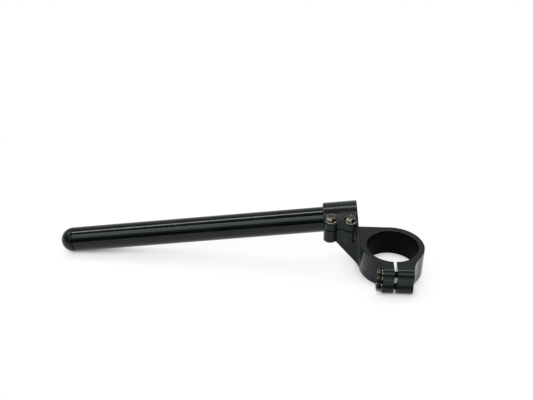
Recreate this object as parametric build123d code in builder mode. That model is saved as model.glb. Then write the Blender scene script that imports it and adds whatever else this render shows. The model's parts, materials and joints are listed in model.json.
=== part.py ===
"""Clip-on handlebar for one fork leg: a split ring bracket with a raised, drooped bar clamp,
the plain bar tube held in it, the plug in the bar's outer end, and two pairs of flange bolts.

Frame: +Z is the fork leg's axis, upwards. The origin is on that axis, at the ring's lower face.
-X runs out along the bar, and -Y is the side where the ring is split.
"""
import os
from math import cos, radians, sin, sqrt, tan

from build123d import *

os.makedirs("parts", exist_ok=True)

# Fork ring
fork_bore_r = 23.0
ring_wall = 5.1
ring_back = 0.75
ring_height = 24.9
ring_slit = 2.5

# Lugs that pinch the ring, one each side of its slit
lug_head_side = 10.4
lug_thread_side = 15.5
lug_bolt_y = -33.3
lug_valley_r = 6.0
lug_head_fillet = 1.1
lug_thread_fillet = 37.5

# Bar tube
bar_r = 11.1
bar_wall = 3.0
bar_length = 257.7
droop = 7.64

# Bar clamp, a split barrel on top of the riser
bar_height = 45.6
bar_clearance = 0.05
bar_inset = 1.4
barrel_wall = 3.4
barrel_length = 30.0
barrel_edge = 0.5
clamp_slit = 1.1

# Ears and bosses of the two bolts that pinch the bar clamp
pinch_reach = 16.1
pinch_spacing = 16.9
pinch_shift = 1.0
ear_r = 5.9
ear_seat = 6.75
ear_fillet = 1.4
web_sweep = 8.5
boss_depth = 12.1
web_setback = 3.75
shelf_rise = 50.0
shelf_slope = 37.0
spotface_r = 5.7

# Arm from the ring to the riser
wall_gap = 3.3
arm_front_y = 0.5
arm_toe = 0.95
arm_slope = 49.5
arm_fillet = 4.7
foot_fillet = 2.3

# M6 flange bolts
bolt_r = 3.0
bolt_tip = 0.6
hex_flats = 8.0
hex_chamfer = 30.0
hex_dish_r = 2.7
hex_dish_depth = 0.5
flange_r = 5.3
flange_rim = 1.0
flange_cone = 0.4
head_height = 5.4
bar_bolt_length = 18.0
fork_bolt_length = 25.0
bolt_clearance = 0.3
thread_clearance = 0.05

# End plug
plug_step = 0.15
plug_band = 1.4
plug_spigot = 17.0
spigot_clearance = 0.1
spigot_taper = 0.8

# What follows from them
ring_r = fork_bore_r + ring_wall
barrel_bore_r = bar_r + bar_clearance
barrel_r = barrel_bore_r + barrel_wall
back_y = ring_r + ring_back
bar_y = back_y - barrel_r
wall_x = -(ring_r + wall_gap)
toe_x = -(ring_r - arm_toe)
rise = tan(radians(droop))
slope = tan(radians(arm_slope))

bar_out = Vector(-cos(radians(droop)), 0, -sin(radians(droop)))
clamp_inner = Vector(wall_x, bar_y, bar_height)


def bar_plane(distance):
    """Plane square to the bar, this far out from the clamp's inner end, facing outwards."""
    return Plane(origin=clamp_inner + bar_out * distance, x_dir=(0, 1, 0), z_dir=bar_out)


def ring_x(y):
    """Half width of the ring's outline at this y."""
    return sqrt(ring_r**2 - (y - ring_back) ** 2)


def ring_y(x):
    """The y of the ring's front outline at this x."""
    return ring_back - sqrt(ring_r**2 - x**2)


clamp_middle = clamp_inner + bar_out * (barrel_length / 2)
slit_z = clamp_middle.Z
seat_z = slit_z + ear_seat
boss_z = slit_z - boss_depth
pinch_y = bar_y - pinch_reach
web_y = pinch_y - ear_r + web_setback
pinch_x = [clamp_middle.X - pinch_shift + side * pinch_spacing / 2 for side in (-1, 1)]
pinch_spots = [(x, pinch_y) for x in pinch_x]

lug_boss_r = ring_height / 4
lug_bolt_z = [lug_boss_r, ring_height - lug_boss_r]
lug_front_y = lug_bolt_y - lug_boss_r
bolt_hole_r = bolt_r + bolt_clearance
thread_hole_r = bolt_r + thread_clearance
beyond = bar_length

# Barrel of the bar clamp, trimmed flush with the riser's inner wall
with BuildPart() as barrel:
    with BuildSketch(bar_plane(0)):
        Circle(barrel_r)
    extrude(amount=barrel_length)
    rims = barrel.edges().filter_by(GeomType.CIRCLE)
    chamfer(rims, barrel_edge)
    split(bisect_by=Plane.YZ.offset(wall_x), keep=Keep.BOTTOM)

# Bracket: ring, lugs, arm, riser and bar clamp, milled from one block
with BuildPart() as fork_bracket:
    # Outline seen from above, taken up past the bar
    with BuildSketch() as plan:
        with Locations((0, ring_back)):
            Circle(ring_r)
        with Locations(((wall_x - barrel_length) / 2, (arm_front_y + back_y) / 2)):
            Rectangle(barrel_length - wall_x, back_y - arm_front_y)
        with Locations(((lug_thread_side - lug_head_side) / 2, lug_front_y / 2)):
            Rectangle(lug_thread_side + lug_head_side, -lug_front_y)
        inner_corners = (
            ((-ring_x(arm_front_y), arm_front_y), arm_fillet),
            ((lug_thread_side, ring_y(lug_thread_side)), lug_thread_fillet),
            ((-lug_head_side, ring_y(lug_head_side)), lug_head_fillet),
        )
        for spot, radius in inner_corners:
            fillet(plan.vertices().sort_by_distance(spot)[0], radius)
    extrude(amount=bar_height)

    # Outline seen from the side: flat plate, riser up to the bar's axis, sloped underside
    tip_x = (toe_x * slope - bar_height + wall_x * rise) / (slope + rise)
    with BuildSketch(Plane.XZ):
        with BuildLine():
            Polyline(
                (toe_x, 0),
                (tip_x, (toe_x - tip_x) * slope),
                (wall_x, bar_height),
                (wall_x, ring_height),
                (ring_r, ring_height),
                (ring_r, 0),
                close=True,
            )
        make_face()
    extrude(amount=beyond, both=True, mode=Mode.INTERSECT)
    split(bisect_by=bar_plane(barrel_length), keep=Keep.BOTTOM)

    # Fillet at the foot of the riser's inner wall
    foot = fork_bracket.edges().filter_by(Axis.Y).sort_by_distance((wall_x, bar_y, ring_height))[0]
    fillet(foot, foot_fillet)

    # The ring stays whole where the slope meets it
    with Locations((0, ring_back)):
        Cylinder(ring_r, ring_height, align=(Align.CENTER, Align.CENTER, Align.MIN))

    # Lug front, a rounded boss along each bolt with a shallow valley between them
    valley_y = lug_bolt_y - sqrt((lug_boss_r + lug_valley_r) ** 2 - lug_boss_r**2)
    share = lug_boss_r / (lug_boss_r + lug_valley_r)
    meet_y = lug_bolt_y + (valley_y - lug_bolt_y) * share
    meet_z = lug_boss_r + lug_boss_r * share
    with BuildSketch(Plane.YZ):
        with Locations((lug_bolt_y - lug_boss_r, ring_height / 2)):
            Rectangle(lug_boss_r * 2, ring_height)
        with BuildLine():
            ThreePointArc((lug_bolt_y, 0), (lug_front_y, lug_bolt_z[0]), (meet_y, meet_z))
            ThreePointArc(
                (meet_y, meet_z),
                (valley_y + lug_valley_r, ring_height / 2),
                (meet_y, ring_height - meet_z),
            )
            ThreePointArc(
                (meet_y, ring_height - meet_z), (lug_front_y, lug_bolt_z[1]), (lug_bolt_y, ring_height))
            Line((lug_bolt_y, ring_height), (lug_bolt_y, 0))
        make_face(mode=Mode.SUBTRACT)
    extrude(amount=beyond, both=True, mode=Mode.SUBTRACT)

    # Fork bore and the slit that lets the ring close
    with BuildSketch():
        Circle(fork_bore_r)
        with Locations((0, lug_front_y / 2)):
            Rectangle(ring_slit, -lug_front_y)
    extrude(amount=ring_height, mode=Mode.SUBTRACT)

    # Fork pinch bolt holes, clear on the head side and threaded on the other
    with BuildSketch(Plane.YZ):
        with Locations(*[(lug_bolt_y, z) for z in lug_bolt_z]):
            Circle(thread_hole_r)
    extrude(amount=fork_bolt_length, mode=Mode.SUBTRACT)
    with BuildSketch(Plane.YZ):
        with Locations(*[(lug_bolt_y, z) for z in lug_bolt_z]):
            Circle(bolt_hole_r)
    extrude(amount=-lug_head_side, mode=Mode.SUBTRACT)

    # Bar clamp barrel with its ears above the slit and bosses below
    add(barrel.part)
    with BuildSketch(Plane.XY.offset(boss_z)) as ears:
        with Locations(*pinch_spots):
            Circle(ear_r)
        with Locations((sum(pinch_x) / 2, (web_y + bar_y) / 2)):
            Rectangle(pinch_spacing, bar_y - web_y)
        reach = sqrt(ear_r**2 - (pinch_y - web_y) ** 2)
        for x, side, radius in zip(pinch_x, (1, -1), (ear_fillet, web_sweep)):
            notch = ears.vertices().sort_by_distance((x + side * reach, web_y))[0]
            fillet(notch, radius)
    extrude(amount=seat_z - boss_z)

    # Slope between the ears, from the barrel down to the flat in front of it
    shelf_reach = barrel_r * cos(radians(shelf_rise))
    shelf_top = barrel_r * sin(radians(shelf_rise))
    shelf_foot = shelf_top - (pinch_reach - shelf_reach) * tan(radians(shelf_slope))
    with BuildSketch(bar_plane((wall_x - pinch_x[1]) / cos(radians(droop)))):
        with BuildLine():
            Polyline(
                (0, 0),
                (-shelf_reach, -shelf_top),
                (-pinch_reach, -shelf_foot),
                (-pinch_reach, 0),
                close=True,
            )
        make_face()
    extrude(amount=pinch_spacing / cos(radians(droop)))

    # Round seats for the bolt flanges, sunk into the barrel
    with BuildSketch(Plane.XY.offset(seat_z)):
        with Locations(*pinch_spots):
            Circle(spotface_r)
    extrude(amount=barrel_r * 2, mode=Mode.SUBTRACT)

    # Bar bore, the slit in front of it, and the pinch bolt holes
    with BuildSketch(bar_plane(0)):
        Circle(barrel_bore_r)
    extrude(amount=barrel_length * 2, both=True, mode=Mode.SUBTRACT)
    slit_depth = bar_y - (pinch_y - ear_r)
    with Locations((clamp_middle.X, bar_y - slit_depth / 2, slit_z)):
        Box(barrel_length * 2, slit_depth, clamp_slit, mode=Mode.SUBTRACT)
    with BuildSketch(Plane.XY.offset(slit_z)):
        with Locations(*pinch_spots):
            Circle(bolt_hole_r)
    extrude(amount=ear_seat, mode=Mode.SUBTRACT)
    with BuildSketch(Plane.XY.offset(slit_z)):
        with Locations(*pinch_spots):
            Circle(thread_hole_r)
    extrude(amount=-boss_depth, mode=Mode.SUBTRACT)
fork_bracket.part.label = "fork_bracket"

# Bar tube, plain drawn tube held in the barrel
with BuildPart() as bar_tube:
    with BuildSketch(bar_plane(bar_inset)):
        Circle(bar_r)
        Circle(bar_r - bar_wall, mode=Mode.SUBTRACT)
    extrude(amount=bar_length)
bar_tube.part.label = "bar_tube"

# End plug, a domed cap with a spigot pushed into the tube
plug_r = bar_r - plug_step
spigot_r = bar_r - bar_wall - spigot_clearance
plug_face = bar_plane(bar_inset + bar_length)
with BuildPart() as bar_end_plug:
    with BuildSketch(Plane(origin=plug_face.origin, x_dir=plug_face.x_dir, z_dir=plug_face.y_dir)):
        with BuildLine():
            Polyline(
                (0, plug_spigot),
                (spigot_r - spigot_taper, plug_spigot),
                (spigot_r, plug_spigot - spigot_taper * 2),
                (spigot_r, 0),
                (plug_r, 0),
                (plug_r, -plug_band),
            )
            RadiusArc((plug_r, -plug_band), (0, -plug_band - plug_r), plug_r)
            Line((0, -plug_band - plug_r), (0, plug_spigot))
        make_face()
    revolve(axis=Axis(plug_face.origin, plug_face.z_dir))
bar_end_plug.part.label = "bar_end_plug"


def flange_bolt(length):
    """Hex flange bolt with its seat at z = 0, the head above it and the shank below."""
    hex_corner_r = hex_flats / sqrt(3)
    with BuildPart() as bolt:
        with BuildSketch(Plane.XZ):
            with BuildLine():
                Polyline(
                    (0, -length),
                    (bolt_r - bolt_tip, -length),
                    (bolt_r, -length + bolt_tip),
                    (bolt_r, 0),
                    (flange_r, 0),
                    (flange_r, flange_rim),
                    (hex_corner_r, flange_rim + flange_cone),
                    (0, flange_rim + flange_cone),
                    close=True,
                )
            make_face()
        revolve(axis=Axis.Z)
        with BuildSketch():
            RegularPolygon(hex_corner_r, 6, rotation=30)
        extrude(amount=head_height)
        corner_drop = (hex_corner_r - hex_flats / 2) * tan(radians(hex_chamfer))
        with BuildSketch(Plane.XZ):
            with BuildLine():
                Polyline(
                    (hex_flats / 2, head_height),
                    (hex_corner_r, head_height),
                    (hex_corner_r, head_height - corner_drop),
                    close=True,
                )
            make_face()
        revolve(axis=Axis.Z, mode=Mode.SUBTRACT)
        with BuildSketch(Plane.XY.offset(head_height)):
            Circle(hex_dish_r)
        extrude(amount=-hex_dish_depth, mode=Mode.SUBTRACT)
    return bolt.part


# Bolts that pinch the bar clamp, heads up on the ears
bar_bolt = flange_bolt(bar_bolt_length)
with BuildPart() as bar_clamp_bolts:
    with Locations(*[(x, pinch_y, seat_z) for x in pinch_x]):
        add(bar_bolt)
bar_clamp_bolts.part.label = "bar_clamp_bolts"

# Bolts that pinch the fork ring, heads on the short lug
fork_bolt = flange_bolt(fork_bolt_length)
with BuildPart() as fork_clamp_bolts:
    with Locations(*[Plane((-lug_head_side, lug_bolt_y, z), z_dir=(-1, 0, 0)) for z in lug_bolt_z]):
        add(fork_bolt)
fork_clamp_bolts.part.label = "fork_clamp_bolts"

for piece in (fork_bracket, bar_tube, bar_end_plug, bar_clamp_bolts, fork_clamp_bolts):
    export_step(piece.part, f"parts/{piece.part.label}.step")
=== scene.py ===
"""Looks of the clip-on handlebar: milled and anodised bracket, polished tube, turned plug, plated bolts."""
import json
from math import atan, cos, degrees, pi, radians, sin, sqrt, tan

import bmesh
import bpy
from mathutils import Matrix, Vector


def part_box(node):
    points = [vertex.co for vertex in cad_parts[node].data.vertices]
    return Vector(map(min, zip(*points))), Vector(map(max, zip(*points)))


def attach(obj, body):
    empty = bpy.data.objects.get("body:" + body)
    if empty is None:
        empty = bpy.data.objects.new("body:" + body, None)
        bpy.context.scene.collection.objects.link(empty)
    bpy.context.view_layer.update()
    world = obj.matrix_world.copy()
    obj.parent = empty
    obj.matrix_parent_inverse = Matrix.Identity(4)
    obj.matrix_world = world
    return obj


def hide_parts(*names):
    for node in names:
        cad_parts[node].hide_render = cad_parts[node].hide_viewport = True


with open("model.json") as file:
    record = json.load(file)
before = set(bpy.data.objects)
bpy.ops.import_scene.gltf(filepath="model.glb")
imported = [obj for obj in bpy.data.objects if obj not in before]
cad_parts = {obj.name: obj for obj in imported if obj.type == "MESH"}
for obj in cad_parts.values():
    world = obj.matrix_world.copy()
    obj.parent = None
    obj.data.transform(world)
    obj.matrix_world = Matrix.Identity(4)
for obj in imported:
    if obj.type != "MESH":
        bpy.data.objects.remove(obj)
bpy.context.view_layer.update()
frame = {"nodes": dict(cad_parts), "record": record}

# Fork bracket
# One block of aluminium alloy, milled to a split ring, an arm, a riser and the split bar clamp.
# Its edges are broken, then it is blasted and anodised satin black.
MM = 0.001
bracket_edge = 0.32 * MM
bracket_edge_steps = 3
bracket_edge_angle = radians(28)
bracket_smooth_angle = radians(34)
flat_angle = radians(0.4)
same_point = 0.002 * MM

block = bmesh.new()
packed = frame["nodes"]["fork_bracket"].data
corners = [block.verts.new(corner.co) for corner in packed.vertices]
for face in packed.polygons:
    block.faces.new([corners[i] for i in face.vertices])
bmesh.ops.remove_doubles(block, verts=block.verts[:], dist=same_point)
bmesh.ops.dissolve_degenerate(block, edges=block.edges[:], dist=same_point)
bmesh.ops.dissolve_limit(block, angle_limit=flat_angle, verts=block.verts[:], edges=block.edges[:])
convex = [edge for edge in block.edges if edge.is_manifold and edge.is_convex]
sharp = [edge for edge in convex if edge.calc_face_angle() > bracket_edge_angle]
rim = block.faces.layers.float.new("rim")
eased = bmesh.ops.bevel(
    block, geom=sharp, offset=bracket_edge, offset_type="OFFSET", affect="EDGES",
    segments=bracket_edge_steps, profile=0.5, clamp_overlap=False, loop_slide=True)
for face in eased["faces"]:
    face[rim] = 1.0
bmesh.ops.triangulate(block, faces=[face for face in block.faces if len(face.verts) > 4])


def add_piece(name, mesh, smooth_angle, flat_faces=False):
    """Makes the mesh an object that shades smooth across edges flatter than this angle."""
    data = bpy.data.meshes.new(name)
    mesh.normal_update()
    mesh.to_mesh(data)
    mesh.free()
    data.shade_smooth()
    data.set_sharp_from_angle(angle=smooth_angle)
    piece = bpy.data.objects.new(name, data)
    if flat_faces:
        piece.modifiers.new("flat_faces", "WEIGHTED_NORMAL").keep_sharp = True
    bpy.context.scene.collection.objects.link(piece)
    return piece


bracket = add_piece("milled_bracket", block, bracket_smooth_angle, flat_faces=True)


class Wire:
    """A socket in a node tree. Arithmetic on it adds Math nodes."""

    def __init__(self, tree, socket=None):
        self.tree, self.socket = tree, socket

    def node(self, kind, settings, sockets, out=0):
        """Adds a node: its settings first, then the values or links of its sockets."""
        made = self.tree.nodes.new("ShaderNode" + kind)
        for key, value in settings.items():
            setattr(made, key, value)
        for key, value in sockets.items():
            if isinstance(value, Wire):
                self.tree.links.new(value.socket, made.inputs[key])
            else:
                made.inputs[key].default_value = value
        return Wire(self.tree, made.outputs[out] if made.outputs else None)

    def math(self, operation, *values):
        return self.node("Math", {"operation": operation}, dict(enumerate(values)))

    def __add__(self, other):
        return self.math("ADD", self, other)

    def __radd__(self, other):
        return self.math("ADD", other, self)

    def __sub__(self, other):
        return self.math("SUBTRACT", self, other)

    def __rsub__(self, other):
        return self.math("SUBTRACT", other, self)

    def __mul__(self, other):
        return self.math("MULTIPLY", self, other)

    def __rmul__(self, other):
        return self.math("MULTIPLY", other, self)

    def over(self, low, high):
        """0 below the low value, 1 above the high one, and smooth between."""
        settings = {"interpolation_type": "SMOOTHSTEP"}
        return self.node("MapRange", settings, {"Value": self, "From Min": low, "From Max": high})


def start_finish(name):
    """A new material with no nodes, a wire to add them with, and the place on the object in metres."""
    material = bpy.data.materials.new(name)
    material.use_nodes = True
    material.node_tree.nodes.clear()
    wire = Wire(material.node_tree)
    return material, wire, wire.node("TexCoord", {}, {}, out="Object")


def end_finish(material, wire, sockets, *pieces):
    """Ends the material in one shader with these sockets, as the next slot of each piece."""
    shader = wire.node("BsdfPrincipled", {}, sockets)
    wire.node("OutputMaterial", {}, {"Surface": shader})
    for piece in pieces:
        piece.data.materials.append(material)


def noise(place, size, detail, stretch=(1, 1, 1)):
    """Noise of about this size in metres, drawn out along an axis by its stretch."""
    scale = [1 / (size * longer) for longer in stretch]
    spread = place.node("Mapping", {}, {"Vector": place, "Scale": scale})
    return spread.node("TexNoise", {}, {"Vector": spread, "Scale": 1.0, "Detail": detail})


def blend_colours(wire, share, low, high):
    """The low colour where the share is 0, the high one where it is 1."""
    return wire.node("Mix", {"data_type": "RGBA"}, {0: share, 6: (*low, 1), 7: (*high, 1)}, out=2)


def bump(wire, height, depth):
    """Normals from a height of 0 to 1, this deep in metres."""
    return wire.node("Bump", {}, {"Height": height, "Distance": depth})


blast_size = 0.35 * MM
blast_depth = 0.006 * MM
blast_roughness = 0.03
cloud_size = 14 * MM
cloud_pale_range = (0.3, 0.8)
cloud_pale_share = 0.1
cloud_rough_range = (0.3, 0.7)
cloud_roughness = 0.04
wear_size = 2.5 * MM
wear_range = (0.3, 0.75)
wear_share = 0.4
satin_roughness = 0.14
satin_black = (0.0045, 0.0080, 0.0065)
rubbed_black = (0.03, 0.0305, 0.030)
satin_tint = (0.88, 1.0, 0.95, 1)

material, wire, place = start_finish("satin_black_anodising")
blast = noise(place, blast_size, detail=2.0)
cloud = noise(place, cloud_size, detail=3.0)
on_edge = wire.node("Attribute", {"attribute_name": "rim"}, {}, out="Fac")
# Paler worn patches on the broken edges only; the bracket gets no painted sheen.
rubbed = on_edge * noise(place, wear_size, detail=3.0).over(*wear_range)
paler = rubbed * wear_share + cloud.over(*cloud_pale_range) * cloud_pale_share
rough = satin_roughness + cloud.over(*cloud_rough_range) * cloud_roughness + blast * blast_roughness
end_finish(material, wire, {
    "Base Color": blend_colours(wire, paler, satin_black, rubbed_black),
    "Roughness": rough, "IOR": 1.275, "Specular Tint": satin_tint,
    "Coat Weight": 0.3, "Coat Roughness": 0.38, "Coat IOR": 1.28,
    "Normal": bump(wire, blast, blast_depth)}, bracket)

groove_size = 0.12 * MM
groove_stretch = (60, 60, 1)
groove_depth = 0.004 * MM
groove_roughness = 0.1
bore_roughness = 0.42
groove_dark = (0.0008, 0.0008, 0.0009)
groove_pale = (0.0028, 0.0028, 0.003)

material, wire, place = start_finish("turned_black_bore")
groove = noise(place, groove_size, detail=2.0, stretch=groove_stretch)
end_finish(material, wire, {
    "Base Color": blend_colours(wire, groove, groove_dark, groove_pale),
    "Roughness": bore_roughness + groove * groove_roughness, "IOR": 1.3, "Specular IOR Level": 0.1,
    "Normal": bump(wire, groove, groove_depth)}, bracket)

pass_size = 0.9 * MM
pass_stretch = (60, 1, 1)
pass_depth = 0.06 * MM
pass_roughness = 0.1
slope_roughness = 0.3
pass_dark = (0.0018, 0.0019, 0.0021)
pass_pale = (0.005, 0.005, 0.005)

material, wire, place = start_finish("milled_black_slope")
pass_line = noise(place, pass_size, detail=1.0, stretch=pass_stretch)
end_finish(material, wire, {
    "Base Color": blend_colours(wire, pass_line, pass_dark, pass_pale),
    "Roughness": slope_roughness + pass_line * pass_roughness, "IOR": 1.42,
    "Normal": bump(wire, pass_line, pass_depth)}, bracket)

mounts = {mount["name"]: mount for mount in frame["record"]["mounts"]}
bore_slot, slope_slot = 1, 2
bore_margin = 0.01 * MM
bore_reach = mounts["fork_clamp"]["dims"]["r_mm"] * MM + bore_margin
bore_lean = 0.3
slope_x = (-57 * MM, -37 * MM)
slope_y = (0.0, 4.9 * MM)
slope_lean = radians(37)
slope_normal_y = -sin(slope_lean)
slope_spread = 0.03
slope_least_z = 0.7
for face in bracket.data.polygons:
    middle, normal = face.center, face.normal
    in_slope = slope_x[0] < middle.x < slope_x[1] and slope_y[0] < middle.y < slope_y[1]
    if middle.xy.length < bore_reach and abs(normal.z) < bore_lean:
        face.material_index = bore_slot
    elif in_slope and abs(normal.y - slope_normal_y) < slope_spread and normal.z > slope_least_z:
        face.material_index = slope_slot
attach(bracket, "root")
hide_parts("fork_bracket")

# Bar tube
# A plain drawn aluminium tube of 22.2 mm, polished and anodised black, with both ends chamfered.
# It is pushed into the bar clamp and held by the two bolts that close the clamp's slit.
bar_along = Vector(mounts["grip_bar"]["axis"]).normalized()
bar_end = Vector(mounts["grip_bar"]["pos_m"])
bar_side = Vector((0, 1, 0))
bar_axes = Matrix((bar_side.cross(bar_along), bar_side, bar_along)).transposed()
bar_frame = Matrix.Translation(bar_end) @ bar_axes.to_4x4()
bar_droop = atan(bar_along.z / bar_along.x)
tube_r = mounts["grip_bar"]["dims"]["r_mm"]
tube_wall = 3.0
tube_bore_r = tube_r - tube_wall
tube_length = 257.7
tube_chamfer = 0.4
tube_rings = 40
tube_sides = 128
tube_smooth_angle = radians(30)


def turn(outline, sides, closed):
    """Lathe mesh: an outline of radii and places along Z in millimetres, turned about Z."""
    mesh = bmesh.new()
    angles = [2 * pi * i / sides for i in range(sides)]
    rows = []
    for radius, along in outline:
        spots = [(radius * cos(a), radius * sin(a), along) for a in (angles if radius else angles[:1])]
        rows.append([mesh.verts.new([size * MM for size in spot]) for spot in spots])
    following = rows[1:] + rows[:1] if closed else rows[1:]
    for low, high in zip(rows, following):
        for i in range(sides):
            j = (i + 1) % sides
            quad = [low[i % len(low)], low[j % len(low)], high[j % len(high)], high[i % len(high)]]
            mesh.faces.new(list(dict.fromkeys(quad)))
    bmesh.ops.recalc_face_normals(mesh, faces=mesh.faces[:])
    return mesh


plain_length = tube_length - 2 * tube_chamfer
plain_run = [-tube_length + tube_chamfer + plain_length * i / tube_rings for i in range(tube_rings + 1)]
outline = [(tube_bore_r + tube_chamfer, -tube_length), (tube_r - tube_chamfer, -tube_length)]
outline += [(tube_r, along) for along in plain_run]
outline += [(tube_r - tube_chamfer, 0), (tube_bore_r + tube_chamfer, 0)]
outline += [(tube_bore_r, along) for along in reversed(plain_run)]
tube_mesh = turn(outline, tube_sides, closed=True)
tube_mesh.transform(bar_frame)
tube = add_piece("polished_tube", tube_mesh, tube_smooth_angle)

drawn_size = 0.25 * MM
drawn_stretch = (160, 1, 1)
drawn_depth = 0.0006 * MM
drawn_roughness = 0.04
tube_cloud_size = 22 * MM
tube_cloud_roughness = 0.04
tube_roughness = 0.09
gloss_cloud_range = (0.35, 0.75)
tube_dark = (0.0006, 0.0012, 0.0010)
tube_pale = (0.0022, 0.0032, 0.0029)
gloss_tint = (0.86, 0.98, 0.94, 1)

material, wire, place = start_finish("polished_black_anodising")
level_place = wire.node("VectorRotate", {"rotation_type": "Y_AXIS"}, {"Vector": place, "Angle": bar_droop})
drawn = noise(level_place, drawn_size, detail=2.0, stretch=drawn_stretch)
cloud = noise(place, tube_cloud_size, detail=3.0)
rough = tube_roughness + cloud.over(*gloss_cloud_range) * tube_cloud_roughness + drawn * drawn_roughness
end_finish(material, wire, {
    "Base Color": blend_colours(wire, cloud.over(*cloud_pale_range), tube_dark, tube_pale),
    "Roughness": rough, "IOR": 1.385, "Specular Tint": gloss_tint,
    "Normal": bump(wire, drawn, drawn_depth)}, tube)
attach(tube, "root")
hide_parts("bar_tube")

# End plug
# A domed plug turned in one piece with its spigot, matt black.
# The spigot is pushed into the tube until the plug's rim meets the tube's end.
plug_step = 0.15
plug_r = tube_r - plug_step
plug_band = 1.4
seam_width = 0.5
seam_depth = 0.9
seam_edge = 0.2
seam_round = 0.3 * seam_edge
spigot_play = 0.1
spigot_r = tube_bore_r - spigot_play
spigot_length = 17.0
spigot_taper = 0.8
dome_steps = 28
plug_sides = 96
plug_smooth_angle = radians(40)

outline = [
    (0, -spigot_length),
    (spigot_r - spigot_taper, -spigot_length),
    (spigot_r, -spigot_length + 2 * spigot_taper),
    (spigot_r, 0),
    (plug_r - seam_depth, 0),
    (plug_r - seam_depth, seam_width),
    (plug_r - seam_edge, seam_width),
    (plug_r - seam_round, seam_width + seam_round),
    (plug_r, seam_width + seam_edge)]
for step in range(dome_steps):
    turned = pi / 2 * step / dome_steps
    outline.append((plug_r * cos(turned), plug_band + plug_r * sin(turned)))
outline.append((0, plug_band + plug_r))
plug_mesh = turn(outline, plug_sides, closed=False)
plug_mesh.transform(bar_frame)
plug = add_piece("domed_plug", plug_mesh, plug_smooth_angle)

grain_size = 0.3 * MM
grain_depth = 0.006 * MM
grain_roughness = 0.04
plug_cloud_size = 6 * MM
plug_cloud_roughness = 0.05
plug_roughness = 0.22
plug_dark = (0.0008, 0.0017, 0.0013)
plug_pale = (0.003, 0.0042, 0.0037)

material, wire, place = start_finish("matt_black_plug")
grain = noise(place, grain_size, detail=3.0)
cloud = noise(place, plug_cloud_size, detail=3.0)
rough = plug_roughness + cloud.over(*gloss_cloud_range) * plug_cloud_roughness + grain * grain_roughness
end_finish(material, wire, {
    "Base Color": blend_colours(wire, cloud.over(*cloud_pale_range), plug_dark, plug_pale),
    "Roughness": rough, "IOR": 1.34, "Specular Tint": gloss_tint,
    "Normal": bump(wire, grain, grain_depth)}, plug)
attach(plug, "root")
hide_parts("bar_end_plug")

# Flange bolts
# Four M6 steel hex bolts with a flange under the head, cold headed, thread rolled and plated dark bronze,
# with painted sheen on the heads and a thread darkened as painted shade.
# Two close the bar clamp from above and two close the fork ring from its left lug.
hex_half = 4.0
hex_corner_round = 0.35
hex_angles = [-30, -29.2, -28.4, -27.8, -25, -19, -12, -6, 0, 6, 12, 19, 25, 27.8, 28.4, 29.2]
head_top = 5.4
head_chamfer_r = 3.9
head_chamfer_slope = tan(radians(30))
head_edge_width = 0.07
head_edge_drop = 0.08
dish_r = 2.7
dish_depth = 0.5
dish_fillet = 0.5
dish_fillet_mid = (0.2, 0.08)
dish_lip_width = 0.14
dish_lip_drop = 0.12
dish_wear_and_sheen = 0.3
neck_fillet = 0.22
neck_fillet_mid = 0.3 * neck_fillet
flange_r = 5.3
flange_top_r = 4.62
flange_top = 1.7
flange_rim = 1.45
flange_round = 0.2
flange_round_mid = 0.05
flange_foot = 0.65
flange_foot_round = 0.1
flange_step = 0.2
shank_fillet = 0.2
thread_r = 3.0
thread_depth = 0.5
thread_pitch = 1.0
thread_flank_slope = 2.6
thread_crest = 0.25
thread_rows = 8
thread_start = 2.0
tip_chamfer = 0.6
bolt_smooth_angle = radians(36)
head_slot, thread_slot = 0, 1


def hex_radius(angle):
    """Radius of the rounded hexagon this many degrees from the middle of a flat."""
    core = hex_half - hex_corner_round
    if abs(angle) <= degrees(atan(core * tan(radians(30)) / hex_half)):
        return hex_half / cos(radians(angle))
    off = radians(30 - abs(angle))
    reach = core / cos(radians(30))
    return reach * cos(off) + sqrt(hex_corner_round**2 - (reach * sin(off)) ** 2)


def flange_height(radius):
    """Height of the flange's coned top at this radius."""
    slope = (flange_top - flange_rim) / (flange_r - flange_top_r)
    return flange_top - max(0, radius - flange_top_r) * slope


def head_points(hexed):
    """Radius, height and share of rubbed plating and painted sheen, from dish to shank, where the hexagon
    has this radius. The sheen is painted brightest high on the hexagon's sides, on its top edge and on the
    flange's rim; the hexagon's foot, the neck and the flange's foot get none, as painted shade.
    """
    shoulder = head_top - (hexed - head_chamfer_r) * head_chamfer_slope
    side_foot = flange_height(hexed) + neck_fillet
    return [
        (dish_r - dish_fillet, head_top - dish_depth, dish_wear_and_sheen),
        (dish_r - dish_fillet_mid[0], head_top - dish_depth + dish_fillet_mid[1], dish_wear_and_sheen),
        (dish_r, head_top - dish_lip_drop, dish_wear_and_sheen),
        (dish_r + dish_lip_width, head_top, 0.5),
        (head_chamfer_r, head_top, 0.3),
        (hexed - head_edge_width, shoulder + head_edge_width * head_chamfer_slope, 0.8),
        (hexed, shoulder - head_edge_drop, 1.0),
        (hexed, (shoulder + side_foot) / 2, 0.9),
        (hexed, side_foot, 0.0),
        (hexed + neck_fillet_mid, flange_height(hexed) + neck_fillet_mid, 0.0),
        (hexed + neck_fillet, flange_height(hexed + neck_fillet), 0.0),
        (flange_r - flange_round, flange_height(flange_r - flange_round), 0.5),
        (flange_r - flange_round_mid, flange_rim - flange_round_mid, 0.9),
        (flange_r, flange_rim - flange_round, 0.9),
        (flange_r, flange_foot + flange_foot_round, 0.7),
        (flange_r - flange_foot_round, flange_foot, 0.0),
        (flange_r - flange_step, flange_foot, 0.0),
        (flange_r - flange_step, 0, 0.0),
        (thread_r + shank_fillet, 0, 0.0),
        (thread_r, -shank_fillet, 0.0)]


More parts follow.
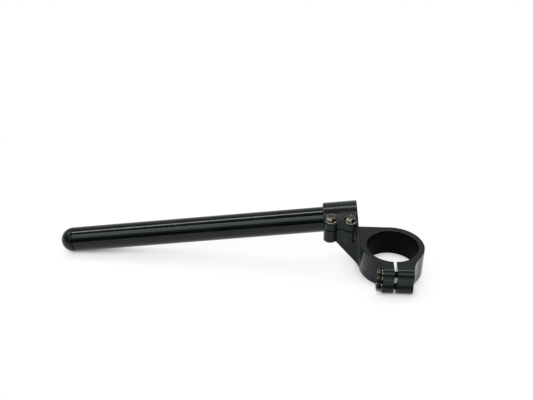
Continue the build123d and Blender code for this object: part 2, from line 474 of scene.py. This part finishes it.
def thread_points(angle, length):
    """Radius, height and share of rubbed plating and painted sheen, which is none, down the rolled thread
    on this side of the shank.
    """
    thread_end = -length + tip_chamfer
    count = int((-thread_start - thread_end) / thread_pitch * thread_rows)
    points = []
    for row in range(count + 1):
        along = -thread_start + (thread_end + thread_start) * row / count
        turn_share = (along / thread_pitch - angle / 360) % 1
        flank = min(max(abs(turn_share - 0.5) * thread_flank_slope - thread_crest, 0), 1)
        fade = min(1, row / thread_rows, (count - row) / thread_rows)
        points.append((thread_r - thread_depth * flank * fade, along, 0.0))
    return points + [(thread_r - tip_chamfer, -length, 0.0)]


def add_bolt(mesh, rubbed, wear_and_sheen_level, length, placed):
    """Adds one bolt to the mesh, its seat at the placing's origin and its head along +Z there."""
    head_rows = len(head_points(hex_half)) - 1
    directions = [(60 * flat + angle, hex_radius(angle)) for flat in range(6) for angle in hex_angles]
    columns = []
    for angle, hexed in directions:
        column = []
        for radius, along, wear_and_sheen_share in head_points(hexed) + thread_points(angle, length):
            spot = Vector((radius * cos(radians(angle)), radius * sin(radians(angle)), along))
            column.append(mesh.verts.new(placed @ spot))
            # Rubbed plating and painted sheen at this point, scaled by the bolt's level.
            column[-1][rubbed] = wear_and_sheen_level * wear_and_sheen_share
        columns.append(column)
    top = mesh.verts.new(placed @ Vector((0, 0, head_top - dish_depth)))
    top[rubbed] = wear_and_sheen_level * dish_wear_and_sheen
    tip = mesh.verts.new(placed @ Vector((0, 0, -length)))
    for here, after in zip(columns, columns[1:] + columns[:1]):
        mesh.faces.new((top, here[0], after[0]))
        for i in range(len(here) - 1):
            side = mesh.faces.new((here[i], here[i + 1], after[i + 1], after[i]))
            side.material_index = head_slot if i < head_rows else thread_slot
        mesh.faces.new((here[-1], tip, after[-1])).material_index = thread_slot


def bolt_pair(name, seats, across, up, length, wear_and_sheen_level):
    """Two bolts as one piece, each seated at a point in millimetres with its head facing up."""
    pair = bmesh.new()
    # A point layer for rubbed plating and painted sheen on the head.
    rubbed = pair.verts.layers.float.new("rubbed")
    turned = Matrix((across, up.cross(across), up)).transposed().to_4x4()
    for seat in seats:
        add_bolt(pair, rubbed, wear_and_sheen_level, length, Matrix.Scale(MM, 4) @ Matrix.Translation(seat) @ turned)
    bmesh.ops.recalc_face_normals(pair, faces=pair.faces[:])
    return add_piece(name, pair, bolt_smooth_angle, flat_faces=True)


# How much rubbed plating and painted sheen the heads get; the fork ring's bolts get less.
bar_bolt_length, bar_bolt_wear_and_sheen = 18.0, 1.0
bar_bolt_up, bar_bolt_across = Vector((0, 0, 1)), Vector((1, 0, 0))
low, high = (Vector(corner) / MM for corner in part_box("bar_clamp_bolts"))
middle_y = (low.y + high.y) / 2
seats = [Vector((x, middle_y, high.z - head_top)) for x in (low.x + flange_r, high.x - flange_r)]
bar_bolts = bolt_pair(
    "bar_clamp_flange_bolts", seats, bar_bolt_across, bar_bolt_up, bar_bolt_length, bar_bolt_wear_and_sheen)

fork_bolt_length, fork_bolt_wear_and_sheen = 25.0, 0.55
fork_bolt_up, fork_bolt_across = Vector((-1, 0, 0)), Vector((0, 0, -1))
low, high = (Vector(corner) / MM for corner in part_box("fork_clamp_bolts"))
middle_y = (low.y + high.y) / 2
seats = [Vector((low.x + head_top, middle_y, z)) for z in (low.z + flange_r, high.z - flange_r)]
fork_bolts = bolt_pair(
    "fork_clamp_flange_bolts", seats, fork_bolt_across, fork_bolt_up, fork_bolt_length, fork_bolt_wear_and_sheen)

plating_grain_size = 0.25 * MM
plating_grain_depth = 0.003 * MM
plating_grain_roughness = 0.03
plating_roughness = 0.10
stain_size = 2.2 * MM
stain_bright_range = (0.35, 0.7)
stain_bright_share = 0.2
stain_rough_range = (0.3, 0.7)
stain_roughness = 0.06
dark_bronze = (0.016, 0.0145, 0.012)
wear_and_sheen_bronze = (0.36, 0.325, 0.27)
# The thread is coloured darker than the plating as painted shade, for the little light that reaches it
# inside the slits.
thread_shade_dark = (0.010, 0.009, 0.008)
thread_shade_pale = (0.022, 0.020, 0.017)
thread_roughness = 0.35
thread_grain_roughness = 0.1

# Dark bronze plating that turns paler bronze where rubbed and where sheen is painted, with stains varying
# it.
material, wire, place = start_finish("dark_bronze_plating")
grain = noise(place, plating_grain_size, detail=3.0)
stain = noise(place, stain_size, detail=3.0)
rubbed = wire.node("Attribute", {"attribute_name": "rubbed"}, {}, out="Fac")
wear_and_sheen_mix = rubbed * (1 - stain_bright_share + stain.over(*stain_bright_range) * stain_bright_share)
rough = plating_roughness + stain.over(*stain_rough_range) * stain_roughness
rough = rough + grain * plating_grain_roughness
end_finish(material, wire, {
    "Base Color": blend_colours(wire, wear_and_sheen_mix, dark_bronze, wear_and_sheen_bronze),
    "Roughness": rough, "Metallic": 1.0,
    "Normal": bump(wire, grain, plating_grain_depth)}, bar_bolts, fork_bolts)

# Painted shade: the thread's darker colour stands in for the shade inside the slits.
material, wire, place = start_finish("oiled_thread")
grain = noise(place, plating_grain_size, detail=3.0)
end_finish(material, wire, {
    "Base Color": blend_colours(wire, grain, thread_shade_dark, thread_shade_pale),
    "Roughness": thread_roughness + grain * thread_grain_roughness, "Metallic": 0.8,
    "Normal": bump(wire, grain, plating_grain_depth)}, bar_bolts, fork_bolts)

for bolts, node in ((bar_bolts, "bar_clamp_bolts"), (fork_bolts, "fork_clamp_bolts")):
    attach(bolts, "root")
    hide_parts(node)

# Studio table
# A white paper sheet that the ring and the end of the bar lie on, much larger than the view.
# Close to the part it takes shade as paper does, and painted light, white mixed into it, thins that shade
# with distance from the ring, the lug and the bar's end, and sooner right of the ring, until far away it is
# plain white.
table_half = 30.0
table_smooth_angle = radians(30)
fibre_size = 1.5 * MM
fibre_dark = (0.95, 0.95, 0.95)
fibre_pale = (0.97, 0.97, 0.97)
touch_ring_r = 25.6 * MM
ring_margin = 1.4 * MM
lug_middle = (2.5 * MM, -27 * MM)
lug_half = (13 * MM, 8 * MM)
lug_margin = 3 * MM
lit_side = (20 * MM, 34 * MM)
lit_margin = 12 * MM
contact_lift = 0.1
lift_steps = ((0.0, 11 * MM, 0.60), (8 * MM, 25 * MM, 0.17), (40 * MM, 250 * MM, 0.13))

table = bmesh.new()
bmesh.ops.create_grid(table, x_segments=4, y_segments=4, size=table_half)
sheet = add_piece("white_table", table, table_smooth_angle)


def vector_length(wire, sides):
    """Length of the vector with these sides."""
    vector = wire.node("CombineXYZ", {}, sides)
    return wire.node("VectorMath", {"operation": "LENGTH"}, {0: vector}, out="Value")


def past_box(wire, at, middle, half):
    """How far a place lies outside a box along one axis."""
    return wire.math("MAXIMUM", wire.math("ABSOLUTE", at - middle) - half, 0.0)


material, wire, place = start_finish("white_paper")
fibre = noise(place, fibre_size, detail=2.0)
paper = wire.node("BsdfPrincipled", {}, {
    "Base Color": blend_colours(wire, fibre, fibre_dark, fibre_pale),
    "Roughness": 1.0, "Specular IOR Level": 0.0})
white = wire.node("Emission", {}, {"Color": (1, 1, 1, 1), "Strength": 1.0})
place_x, place_y = (wire.node("SeparateXYZ", {}, {"Vector": place}, out=axis) for axis in "XY")
from_axis = vector_length(wire, {"X": place_x, "Y": place_y})
# Painted light: right of the ring the paper counts as further away, so more white is mixed in there.
lit = place_x.over(*lit_side) * lit_margin
from_ring = wire.math("ABSOLUTE", from_axis - touch_ring_r) + ring_margin + lit
from_lug = lug_margin + vector_length(wire, {
    "X": past_box(wire, place_x, lug_middle[0], lug_half[0]),
    "Y": past_box(wire, place_y, lug_middle[1], lug_half[1])})
past_end = place_x - bar_end.x
from_bar = vector_length(wire, {
    "X": wire.math("MINIMUM", past_end, 0.0),
    "Y": place_y - bar_end.y,
    "Z": wire.math("MAXIMUM", past_end, 0.0) * tan(bar_droop)})
away = wire.math("MINIMUM", wire.math("MINIMUM", from_ring, from_lug), from_bar)
# Painted light: the share of white mixed into the paper grows from the contact outwards.
lift = contact_lift
for start, end, share in lift_steps:
    lift = lift + away.over(start, end) * share
ray_kinds = ("Is Camera Ray", "Is Glossy Ray", "Is Transmission Ray")
camera_ray, glossy_ray, glass_ray = (wire.node("LightPath", {}, {}, out=kind) for kind in ray_kinds)
seen = camera_ray + glossy_ray + glass_ray
lifted = wire.node("MixShader", {}, {0: seen * lift, 1: paper, 2: white})
wire.node("OutputMaterial", {}, {"Surface": lifted})
sheet.data.materials.append(material)

# Studio light
# Three soft boxes lie across the bar: a long strip behind the zenith, a wide box in front of it,
# and a brighter strip along the wide box's upper edge. The dim room is lighter behind the table.
light_aim = Vector((-0.10, 0.0, 0.05))


def soft_box(name, centre, length, width, radiance):
    """An area lamp of this size in metres and this radiance, turned to the part."""
    lamp = bpy.data.lights.new(name, "AREA")
    lamp.shape = "RECTANGLE"
    lamp.size, lamp.size_y = length, width
    lamp.energy = radiance * length * width * pi
    rig = bpy.data.objects.new(name, lamp)
    rig.location = centre
    rig.rotation_euler = (light_aim - Vector(centre)).to_track_quat("-Z", "Y").to_euler()
    bpy.context.scene.collection.objects.link(rig)


soft_box("strip_behind", centre=(-0.35, 0.94, 2.4), length=6.0, width=0.30, radiance=12.5)
soft_box("box_in_front", centre=(-0.40, -1.60, 2.31), length=3.0, width=1.3, radiance=2.4)
soft_box("box_front_edge", centre=(-0.38, -1.085, 2.56), length=3.0, width=0.14, radiance=5.2)

room_level = 0.05
overhead_level, overhead_range = 0.12, (-0.8, 0.0)
back_level, back_range = 0.55, (0.0, 1.0)
back_top_drop, back_top_range = 0.15, (0.3, 0.6)
left_level, left_range = 0.2, (0.5, 0.9)
front_level, front_range, front_top_range = 0.4, (0.55, 0.7), (0.35, 0.5)
world = bpy.data.worlds.new("studio_room")
bpy.context.scene.world = world
world.use_nodes = True
world.node_tree.nodes.clear()
wire = Wire(world.node_tree)
direction = wire.node("TexCoord", {}, {}, out="Generated")
right, back, up = (wire.node("SeparateXYZ", {}, {"Vector": direction}, out=axis) for axis in "XYZ")
level = room_level + back.over(*overhead_range) * overhead_level
level = level + back.over(*back_range) * (back_level - up.over(*back_top_range) * back_top_drop)
level = level + (0 - right).over(*left_range) * left_level
level = level + (0 - back).over(*front_range) * up.over(*front_top_range) * front_level
sky = wire.node("Background", {}, {"Color": (1, 1, 1, 1), "Strength": level})
wire.node("OutputWorld", {}, {"Surface": sky})
bpy.context.scene.view_settings.view_transform = "Standard"

# Camera
# It stands in front of the part and looks down on it at about 33 degrees.
camera_place = (-0.08811, -0.56482, 0.43342)
camera_turn = (radians(57.209), radians(-0.285), radians(2.586))
lens = bpy.data.cameras.new("camera")
lens.sensor_width = 36.0
lens.lens = 53.0
camera = bpy.data.objects.new("camera", lens)
camera.location = camera_place
camera.rotation_euler = camera_turn
bpy.context.scene.collection.objects.link(camera)
bpy.context.scene.camera = camera
